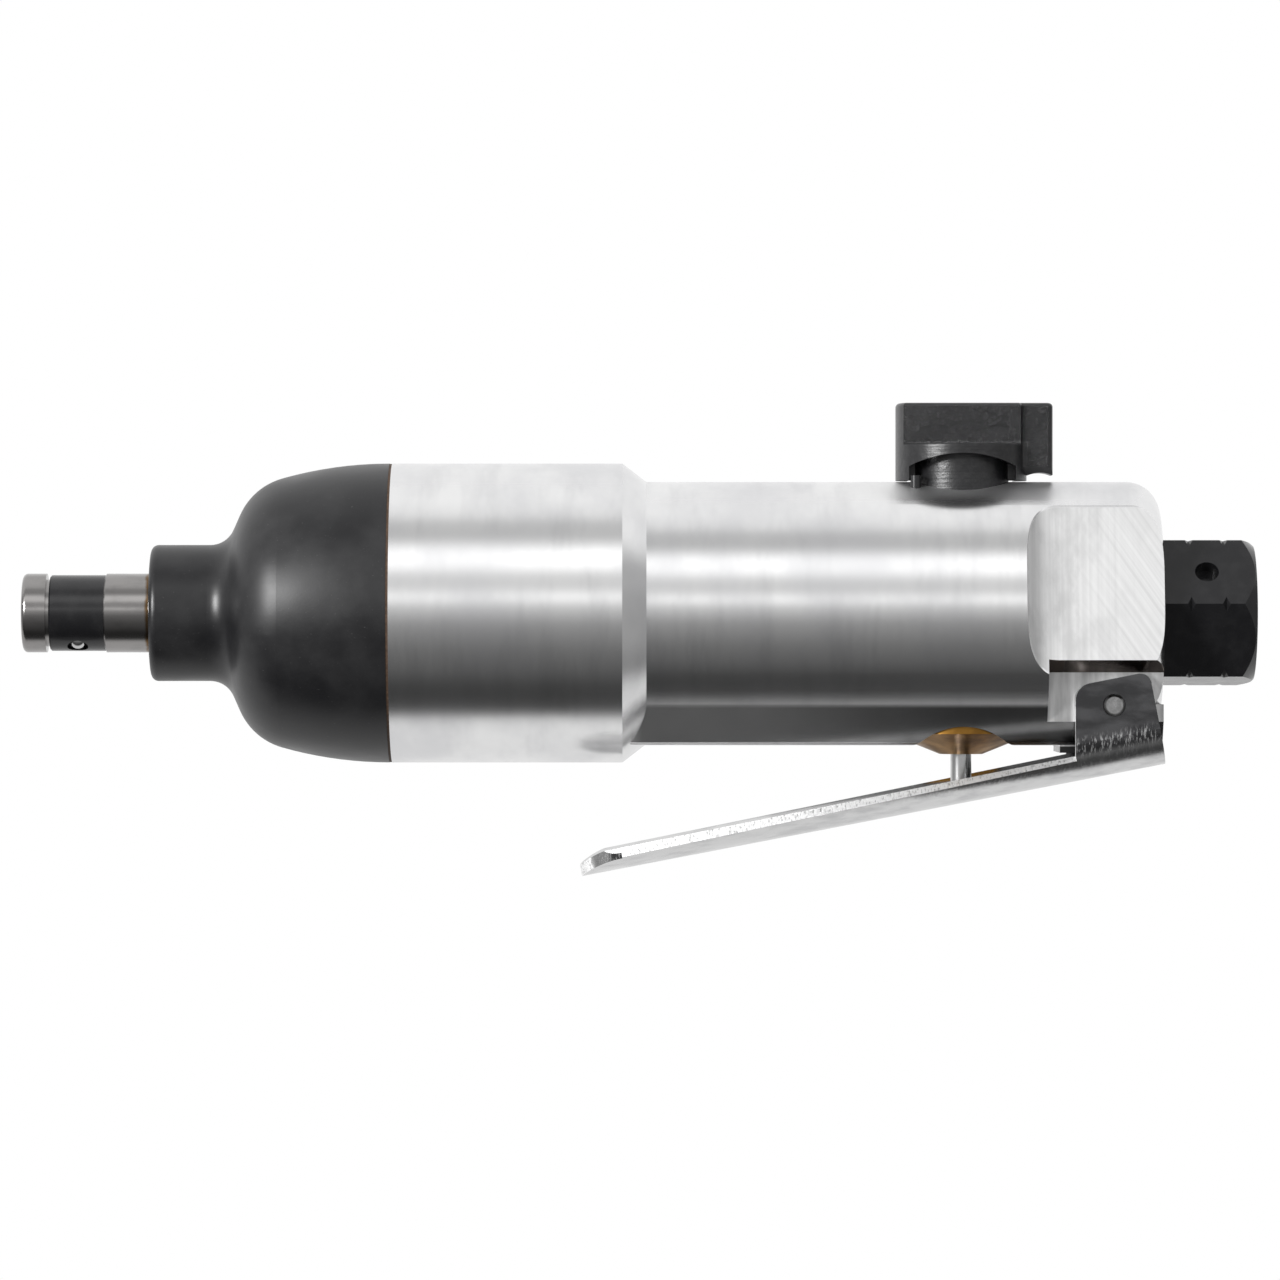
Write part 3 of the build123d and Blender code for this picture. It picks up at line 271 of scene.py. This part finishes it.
def housing_flats(f, x, z):
    """Masks of the milled places: the side pads, the seats of the lever's ears and the downward faces of the
    ledges above them, which get painted shade.
    """
    inside = f.remap(f.from_axis(), BARREL_R - 0.08, BARREL_R - 0.3)
    tilt = radians(PAD_TILT)
    pads = [f.remap(f.facing((0, side * cos(tilt), sin(tilt))), 0.97, 0.99) for side in SIDES]
    run_out = f.remap(x, PAD_FLAT_FRONT_X + 1.0, PAD_FLAT_FRONT_X)
    pad = f.both(inside, f.either(*pads, run_out), f.remap(x, PAD_FRONT_X - 0.5, PAD_FRONT_X),
                 f.remap(z, EAR_FLAT_TOP_Z - 0.3, EAR_FLAT_TOP_Z))
    near_middle = f.remap(f.math("ABSOLUTE", f.place("Y")), EAR_FLAT_Y + 0.5, EAR_FLAT_Y + 0.1)
    ear_seat = f.both(f.remap(f.facing_sideways(), 0.99, 0.998), near_middle,
                      f.remap(x, EAR_FLAT_FRONT_X - 0.2, EAR_FLAT_FRONT_X))
    ledge_painted_shade = f.both(inside, f.remap(z, EAR_FLAT_TOP_Z - 0.2, EAR_FLAT_TOP_Z),
                   f.remap(x, EAR_FLAT_FRONT_X - 0.4, EAR_FLAT_FRONT_X), f.remap(f.facing(DOWN), 0.3, 0.6))
    return pad, ear_seat, ledge_painted_shade


def keel_facets(f, x):
    """Mask of the keel's two slanting flats, from the case back."""
    tilt = radians(KEEL_FACET_TILT)
    facets = [f.remap(f.facing((0, side * cos(tilt), -sin(tilt))), 0.993, 0.998) for side in SIDES]
    return f.both(f.either(*facets), f.remap(x, CASE_REAR_X + 1.0, CASE_REAR_X + 3.0),
                  f.remap(f.from_axis(), BARREL_R - 0.02, BARREL_R + 0.06))


def turned_aluminium():
    """Lathe-turned body with soft cloudy rings, milled flats with their own cutter marks, and painted shade
    on the ledges, the keel's flats and the underside behind the boss.
    """
    f = Finish("turned_aluminium", (0.80, 0.80, 0.81), 0.2, metallic=1.0)
    x = f.place("X")
    z = f.place("Z")
    pad, ear_seat, ledge_painted_shade = housing_flats(f, x, z)
    milled = f.either(pad, ear_seat)

    rings = f.streaks(ALONG, 0.35, detail=4.0)
    cloud = f.noise(0.10, (0.8, 0.5, 0.5), detail=6.0)
    smear = f.noise(0.30, (1.0, 0.2, 0.2), detail=5.0)
    turned = f.mix_colour(f.remap(cloud, 0.35, 0.7), grey(0.84), (0.72, 0.72, 0.73))
    turned = f.mix_colour(f.both(f.remap(smear, 0.45, 0.75), 0.4), turned, (0.62, 0.62, 0.63))

    slant = f.streaks((0.82, 0, 0.57), 0.6, detail=5.0)
    upright = f.streaks(ALONG, 0.7, detail=5.0)
    mill_marks = f.mix_value(f.remap(x, PAD_FLAT_FRONT_X - 1.0, PAD_SLANT_MARKS_X), upright, slant)
    patches = f.noise(0.28, (1.0, 1.0, 0.4), detail=6.0)
    worn = f.both(f.remap(patches, 0.42, 0.68), f.remap(x, PAD_WEAR_FROM_X, PAD_WEAR_TO_X, 0.3, 1.0))
    cut = f.mix_colour(f.remap(mill_marks, 0.25, 0.8), grey(0.80), grey(0.68))
    cut = f.mix_colour(f.both(worn, 0.75), cut, grey(0.56))
    cut = f.mix_colour(f.both(ear_seat, f.remap(smear, 0.25, 0.7)), cut, grey(0.30))

    base = f.mix_colour(milled, turned, cut)
    # Painted shade, tinted brown like dirt, on the downward-facing ledge over the ears
    base = f.mix_colour(ledge_painted_shade, base, (0.10, 0.075, 0.06))
    # Painted shade on the keel's slanting flats, deepening towards the lever
    keel_painted_shade = f.mix_colour(f.remap(x, KEEL_SHADE_WEAK_X, KEEL_SHADE_DEEP_X), grey(0.42), grey(0.05))
    base = f.mix_colour(f.both(keel_facets(f, x), 0.92), base, keel_painted_shade)
    # Painted shade: the housing's underside behind the boss front is painted near black
    boss_painted_shade = f.both(f.remap(z, -BARREL_R - 0.1, -BARREL_R - 0.3), f.remap(x, BOSS_FRONT_X - 1.0, BOSS_FRONT_X))
    base = f.mix_colour(boss_painted_shade, base, grey(0.03))
    f.colour(base)

    turned_rough = f.remap(cloud, 0.3, 0.7, 0.17, 0.24, smooth=False)
    turned_rough = f.mix_value(f.remap(f.facing(UP), 0.80, 0.93), turned_rough, 0.42)
    f.roughness(f.mix_value(milled, turned_rough, 0.46))
    f.bump(f.mix_value(milled, rings, mill_marks), f.mix_value(milled, 0.05, 0.16), 0.02)
    f.bump(f.noise(1.2, (1.0, 0.4, 0.4), detail=4.0), 0.05, 0.03)
    return f.material


def black_paint():
    """Satin black coat with a fine orange-peel and a few pale specks."""
    f = Finish("black_paint", (0.012, 0.012, 0.013), 0.4, specular=0.4)
    speck = f.remap(f.noise(4.5, detail=2.0), 0.70, 0.78)
    cloud = f.noise(0.10, detail=5.0)
    base = f.mix_colour(f.remap(cloud, 0.35, 0.7), (0.008, 0.008, 0.009), (0.020, 0.020, 0.021))
    f.colour(f.mix_colour(f.both(speck, 0.6), base, grey(0.12)))
    f.roughness(f.remap(cloud, 0.3, 0.7, 0.30, 0.44, smooth=False))
    f.bump(f.noise(3.2, detail=3.0), 0.16, 0.03)
    return f.material


def black_casting():
    """Black-coated casting: pitted flat faces on the grip, smoother turned surfaces below."""
    f = Finish("black_casting", (0.012, 0.012, 0.013), 0.3, specular=0.55)
    grip = f.remap(f.place("Z"), KNOB_RIDGE_Z + 0.1, KNOB_RIDGE_Z + 0.6)
    pointer = f.remap(f.place("X"), POINTER_X - 0.2, POINTER_X + 0.2)
    cast_face = f.both(f.either(grip, pointer), f.remap(f.facing_sideways(), 0.9, 0.97))
    pits = f.noise(1.1, detail=6.0, roughness=0.7)
    rings = f.streaks(UP, 0.35, detail=3.0)
    f.colour(f.mix_colour(f.remap(pits, 0.35, 0.75), (0.009, 0.009, 0.010), (0.022, 0.022, 0.023)))
    f.roughness(f.mix_value(cast_face, 0.32, 0.16))
    f.bump(pits, f.mix_value(cast_face, 0.10, 1.0), 0.7)
    f.bump(rings, f.mix_value(cast_face, 0.35, 0.0), 0.05)
    return f.material


def black_oxide(name, roughness):
    """Smooth, faintly glossy black with a few rubbed specks."""
    f = Finish(name, (0.009, 0.009, 0.010), roughness, specular=0.5)
    wear = f.noise(0.5, detail=5.0)
    base = f.mix_colour(f.remap(wear, 0.4, 0.75), (0.008, 0.008, 0.009), (0.013, 0.013, 0.014))
    speck = f.remap(f.noise(5.0, detail=2.0), 0.74, 0.80)
    f.colour(f.mix_colour(f.both(speck, 0.35), base, grey(0.14)))
    f.roughness(f.remap(wear, 0.3, 0.7, roughness - 0.02, roughness + 0.03, smooth=False))
    f.bump(f.streaks(ALONG, 0.25), 0.05, 0.02)
    return f.material


def ground_steel(name, colour, roughness, oil=False):
    """Ground steel with rings; with oil, it has dried oil next to the nose."""
    f = Finish(name, colour, roughness, metallic=1.0)
    rings = f.streaks(ALONG, 0.1)
    stain = f.noise(0.6, (0.6, 1, 1), detail=5.0)
    dark = tuple(c * 0.86 for c in colour)
    base = f.mix_colour(f.remap(stain, 0.42, 0.72), colour, dark)
    if oil:
        near_nose = f.remap(f.place("X"), NOSE_FRONT_X - 1.6, NOSE_FRONT_X - 0.1)
        ragged = f.remap(f.math("ADD", near_nose, f.both(stain, 0.6)), 0.85, 1.25)
        base = f.mix_colour(ragged, base, (0.14, 0.085, 0.04))
    f.colour(base)
    f.roughness(f.remap(stain, 0.3, 0.75, roughness, roughness + 0.05, smooth=False))
    f.bump(rings, 0.06, 0.02)
    return f.material


def hardened_steel():
    """Dark steel with a faint heat tint."""
    f = Finish("hardened_steel", (0.33, 0.33, 0.35), 0.35, metallic=1.0)
    tint = f.noise(0.25, detail=4.0)
    f.colour(f.mix_colour(f.remap(tint, 0.35, 0.7), (0.36, 0.36, 0.37), (0.22, 0.21, 0.24)))
    f.bump(f.noise(2.5, detail=3.0), 0.12, 0.03)
    return f.material


def turned_brass(name, colour, dark):
    """Turned copper alloy with stains and rings."""
    f = Finish(name, colour, 0.3, metallic=1.0)
    stain = f.noise(0.35, detail=5.0)
    f.colour(f.mix_colour(f.remap(stain, 0.35, 0.7), colour, dark))
    f.roughness(f.remap(stain, 0.3, 0.7, 0.27, 0.38, smooth=False))
    f.bump(f.streaks(UP, 0.3, detail=3.0), 0.22, 0.03)
    return f.material


def plated_lever():
    """Bright-plated sheet: smooth faces, a torn sheared rim, cracks above the folds, and a painted dark
    reflection on the ears' flat faces.
    """
    f = Finish("plated_lever", grey(0.70), 0.2, metallic=1.0)
    outward = f.both(f.facing(ACROSS), f.math("SIGN", f.place("Y")))
    rim = f.both(f.remap(outward, 0.25, 0.35), f.remap(f.facing(LEVER_UP), 0.25, 0.35))
    sheared = f.either(rim, f.remap(f.facing(FORWARD), 0.6, 0.75))
    height = f.math("DIVIDE", f.dot("Object", LEVER_UP), MM)
    stretch = f.both(f.remap(height, FOLD_BOTTOM, FOLD_TOP),
                     f.remap(height, CRACKS_FADE_FROM, CRACKS_FADE_TO, 1.0, 0.0), f.remap(outward, 0.6, 0.9))
    ear = f.both(f.remap(f.facing_sideways(), 0.93, 0.985), f.remap(height, FOLD_BOTTOM, EAR_BOTTOM))

    fine = f.noise(0.5, (0.4, 1, 1), detail=6.0)
    tear = f.noise(2.6, (1.4, 0.4, 0.5), detail=6.0, roughness=0.7)
    pulled = f.noise(1.5, (1.0, 0.2, 0.22), detail=6.0, roughness=0.7)
    specks = f.remap(f.noise(2.4, detail=2.0), 0.66, 0.74)
    torn = f.remap(f.noise(2.6, (1.6, 0.2, 0.35), detail=4.0, roughness=0.6), 0.51, 0.61)

    base = f.mix_colour(f.remap(fine, 0.4, 0.7), grey(0.68), (0.56, 0.56, 0.565))
    # Painted dark reflection: the ears' flat faces are painted near black
    ear_painted_dark_reflection = f.mix_colour(f.remap(fine, 0.35, 0.65), (0.085, 0.085, 0.088), (0.15, 0.15, 0.155))
    base = f.mix_colour(ear, base, ear_painted_dark_reflection)
    base = f.mix_colour(f.both(stretch, torn), base, grey(0.80))
    rim_tone = f.mix_colour(f.remap(tear, 0.34, 0.50), grey(0.45), grey(0.98))
    f.colour(f.mix_colour(sheared, base, rim_tone))
    smooth_rough = f.remap(fine, 0.3, 0.7, 0.14, 0.24, smooth=False)
    f.roughness(f.mix_value(sheared, smooth_rough, 0.6))
    f.bump(tear, f.both(sheared, 0.9), 0.12)
    f.bump(pulled, f.both(stretch, 0.8), 0.12)
    f.bump(specks, 0.12, 0.03)
    f.bump(fine, 0.05, 0.05)
    return f.material


def pin_steel():
    """Steel pin with a painted shadow ring round its end faces."""
    f = Finish("pin_steel", grey(0.42), 0.3, metallic=1.0)
    low, high = (Vector(corner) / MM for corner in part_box("lever_pin"))
    middle = (low + high) / 2
    pin_r = (high.z - low.z) / 2
    off_x = f.math("SUBTRACT", f.place("X"), middle.x)
    off_z = f.math("SUBTRACT", f.place("Z"), middle.z)
    # rim: painted shadow, a dark ring at the edge of the pin's end faces
    rim = f.remap(f.reach(off_x, off_z), pin_r - 0.45, pin_r - 0.1)
    stain = f.noise(1.6, detail=4.0)
    base = f.mix_colour(f.remap(stain, 0.35, 0.7), grey(0.46), grey(0.30))
    f.colour(f.mix_colour(f.both(rim, 0.85), base, grey(0.06)))
    f.roughness(f.remap(stain, 0.3, 0.7, 0.24, 0.36, smooth=False))
    f.bump(stain, 0.3, 0.06)
    return f.material


def soft_black(name, colour, roughness):
    """Rubber or fibre with a fine grain."""
    f = Finish(name, colour, roughness, specular=0.4)
    grain = f.noise(2.0, detail=4.0)
    lighter = tuple(min(1.0, c * 1.6 + 0.004) for c in colour)
    f.colour(f.mix_colour(f.remap(grain, 0.35, 0.7), colour, lighter))
    f.bump(grain, 0.12, 0.03)
    return f.material


def machined_iron():
    """Grey iron with tool rings."""
    f = Finish("machined_iron", grey(0.32), 0.42, metallic=1.0)
    cloud = f.noise(1.2, detail=5.0)
    f.colour(f.mix_colour(f.remap(cloud, 0.35, 0.7), grey(0.34), (0.22, 0.22, 0.23)))
    f.bump(f.streaks(ALONG, 0.2), 0.12, 0.02)
    return f.material


def vane_phenolic():
    """Brown cloth laminate: a weave of two crossed sets of streaks."""
    f = Finish("vane_phenolic", (0.28, 0.15, 0.07), 0.5)
    weave = f.both(f.streaks(ALONG, 0.35), f.streaks((0, 0.7, 0.7), 0.35))
    f.colour(f.mix_colour(f.remap(weave, 0.15, 0.4), (0.20, 0.10, 0.05), (0.36, 0.21, 0.11)))
    f.bump(weave, 0.15, 0.03)
    return f.material


FINISHES = {
    "housing": turned_aluminium(),
    "nose_cover": black_paint(),
    "joint_gasket": soft_black("gasket_fibre", (0.05, 0.028, 0.016), 0.7),
    "anvil_bushing": turned_brass("sintered_bronze", (0.42, 0.26, 0.13), (0.28, 0.17, 0.09)),
    "anvil": ground_steel("anvil_steel", (0.31, 0.30, 0.295), 0.14, oil=True),
    "retainer_sleeve": black_oxide("retainer_black", 0.2),
    "throttle_cap": turned_brass("cap_brass", (0.37, 0.19, 0.04), (0.20, 0.10, 0.022)),
    "throttle_valve": turned_brass("valve_brass", (0.52, 0.39, 0.16), (0.40, 0.30, 0.12)),
    "lever": plated_lever(),
    "lever_pin": pin_steel(),
    "reverse_knob": black_casting(),
    "inlet_bushing": black_oxide("hex_black", 0.2),
    "stop_pin": black_oxide("pin_black", 0.3),
    "vanes": vane_phenolic(),
}
SHARED = [
    (ground_steel("ground_steel", grey(0.62), 0.18),
     ("bit_ball", "hammer_pins", "rotor", "liner_dowel_pin", "front_bearing", "rear_bearing",
      "throttle_stem", "detent_ball")),
    (hardened_steel(), ("hammer_cage", "hammer_rear", "hammer_front")),
    (ground_steel("spring_wire", grey(0.5), 0.28), ("throttle_spring", "detent_spring", "inlet_screen")),
    (machined_iron(), ("cylinder_liner", "front_end_plate", "rear_end_plate")),
    (soft_black("nitrile_rubber", grey(0.018), 0.6),
     ("throttle_oring", "throttle_seat", "reverse_oring", "inlet_oring")),
]
for material, names in SHARED:
    for name in names:
        FINISHES[name] = material

for name, node in nodes.items():
    node.data.materials.clear()
    node.data.materials.append(FINISHES[name])


def knob_web():
    """The wall between the two hollows under the knob's grip, which closes the view through the base."""
    middle_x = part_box("reverse_knob")[0][0] / MM + KNOB_BASE_R
    half = [(WEB_FOOT_HALF_WIDTH, WEB_BOTTOM_Z), (WEB_FOOT_HALF_WIDTH, WEB_FOOT_TOP_Z),
            (WEB_HALF_WIDTH, WEB_FOOT_TOP_Z), (WEB_HALF_WIDTH, WEB_TOP_Z)]
    outline = [(middle_x + x, z) for x, z in half] + [(middle_x - x, z) for x, z in reversed(half)]
    count = len(outline)
    corners = [(x * MM, y * MM, z * MM) for y in (-WEB_HALF_THICK, WEB_HALF_THICK) for x, z in outline]
    near_face = tuple(range(count))
    far_face = tuple(reversed(range(count, 2 * count)))
    edges = [((i + 1) % count, i, i + count, (i + 1) % count + count) for i in range(count)]
    mesh = bpy.data.meshes.new("knob_web")
    mesh.from_pydata(corners, [], [near_face, far_face, *edges])
    web = bpy.data.objects.new("knob_web", mesh)
    bpy.context.scene.collection.objects.link(web)
    mesh.materials.append(FINISHES["reverse_knob"])
    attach(web, "knob_body")


def studio_world():
    """White to the camera; everything else sees the bands round the tool's axis and the level at its ends."""
    world = bpy.data.worlds.new("studio")
    bpy.context.scene.world = world
    world.use_nodes = True
    tree = world.node_tree
    tree.nodes.clear()
    link = tree.links.new

    coords = add_node(tree, "ShaderNodeTexCoord")
    split = add_node(tree, "ShaderNodeSeparateXYZ")
    link(coords.outputs["Generated"], split.inputs[0])
    toward = add_node(tree, "ShaderNodeMath", operation="MULTIPLY")
    toward.inputs[1].default_value = -1
    link(split.outputs["Y"], toward.inputs[0])
    angle = add_node(tree, "ShaderNodeMath", operation="ARCTAN2")
    link(split.outputs["Z"], angle.inputs[0])
    link(toward.outputs[0], angle.inputs[1])
    turn = add_node(tree, "ShaderNodeMath", operation="MULTIPLY_ADD")
    turn.inputs[1].default_value = 1 / (2 * pi)
    turn.inputs[2].default_value = 0.5
    link(angle.outputs[0], turn.inputs[0])

    ramp = add_node(tree, "ShaderNodeValToRGB")
    ramp.color_ramp.interpolation = "LINEAR"
    elements = ramp.color_ramp.elements
    for degrees, level in BANDS[1:-1]:
        elements.new(degrees / 360 + 0.5)
    for element, (degrees, level) in zip(elements, BANDS):
        element.position = degrees / 360 + 0.5
        element.color = (*grey(level), 1)
    link(turn.outputs[0], ramp.inputs[0])

    sideways = add_node(tree, "ShaderNodeMath", operation="ABSOLUTE")
    link(split.outputs["X"], sideways.inputs[0])
    ends = add_node(tree, "ShaderNodeMapRange", interpolation_type="SMOOTHSTEP")
    ends.inputs["From Min"].default_value = END_FROM
    ends.inputs["From Max"].default_value = END_TO
    link(sideways.outputs[0], ends.inputs["Value"])
    blend = add_node(tree, "ShaderNodeMix", data_type="RGBA")
    link(ends.outputs["Result"], blend.inputs[MIX_FACTOR])
    link(ramp.outputs["Color"], blend.inputs[MIX_COLOURS[0]])
    blend.inputs[MIX_COLOURS[1]].default_value = (*grey(END_LEVEL), 1)

    lit = add_node(tree, "ShaderNodeBackground")
    link(blend.outputs[MIX_COLOUR_OUT], lit.inputs["Color"])
    seen = add_node(tree, "ShaderNodeBackground")
    seen.inputs["Color"].default_value = (*grey(1), 1)
    path = add_node(tree, "ShaderNodeLightPath")
    switch = add_node(tree, "ShaderNodeMixShader")
    link(path.outputs["Is Camera Ray"], switch.inputs[0])
    link(lit.outputs[0], switch.inputs[1])
    link(seen.outputs[0], switch.inputs[2])
    output = add_node(tree, "ShaderNodeOutputWorld")
    link(switch.outputs[0], output.inputs["Surface"])


def camera():
    """The photograph's own view, level and square to the tool."""
    data = bpy.data.cameras.new("camera")
    data.lens = LENS
    data.sensor_width = SENSOR
    data.clip_end = CLIP_END
    made = bpy.data.objects.new("camera", data)
    made.location = (VIEW_X, -VIEW_DISTANCE, VIEW_Z)
    made.rotation_euler = (pi / 2, 0, 0)
    bpy.context.scene.collection.objects.link(made)
    bpy.context.scene.camera = made


def nose_lamp():
    """A small soft lamp beyond the nose that puts the round sheen on its black dome."""
    data = bpy.data.lights.new("nose_lamp", "AREA")
    data.size = LAMP_SIZE
    data.energy = LAMP_POWER
    lamp = bpy.data.objects.new("nose_lamp", data)
    lamp.location = LAMP_PLACE
    aim = Vector((NOSE_FRONT_X * MM, 0, 0)) - lamp.location
    lamp.rotation_euler = aim.to_track_quat("-Z", "Y").to_euler()
    bpy.context.scene.collection.objects.link(lamp)


knob_web()
studio_world()
nose_lamp()
camera()
bpy.context.scene.view_settings.view_transform = "Standard"
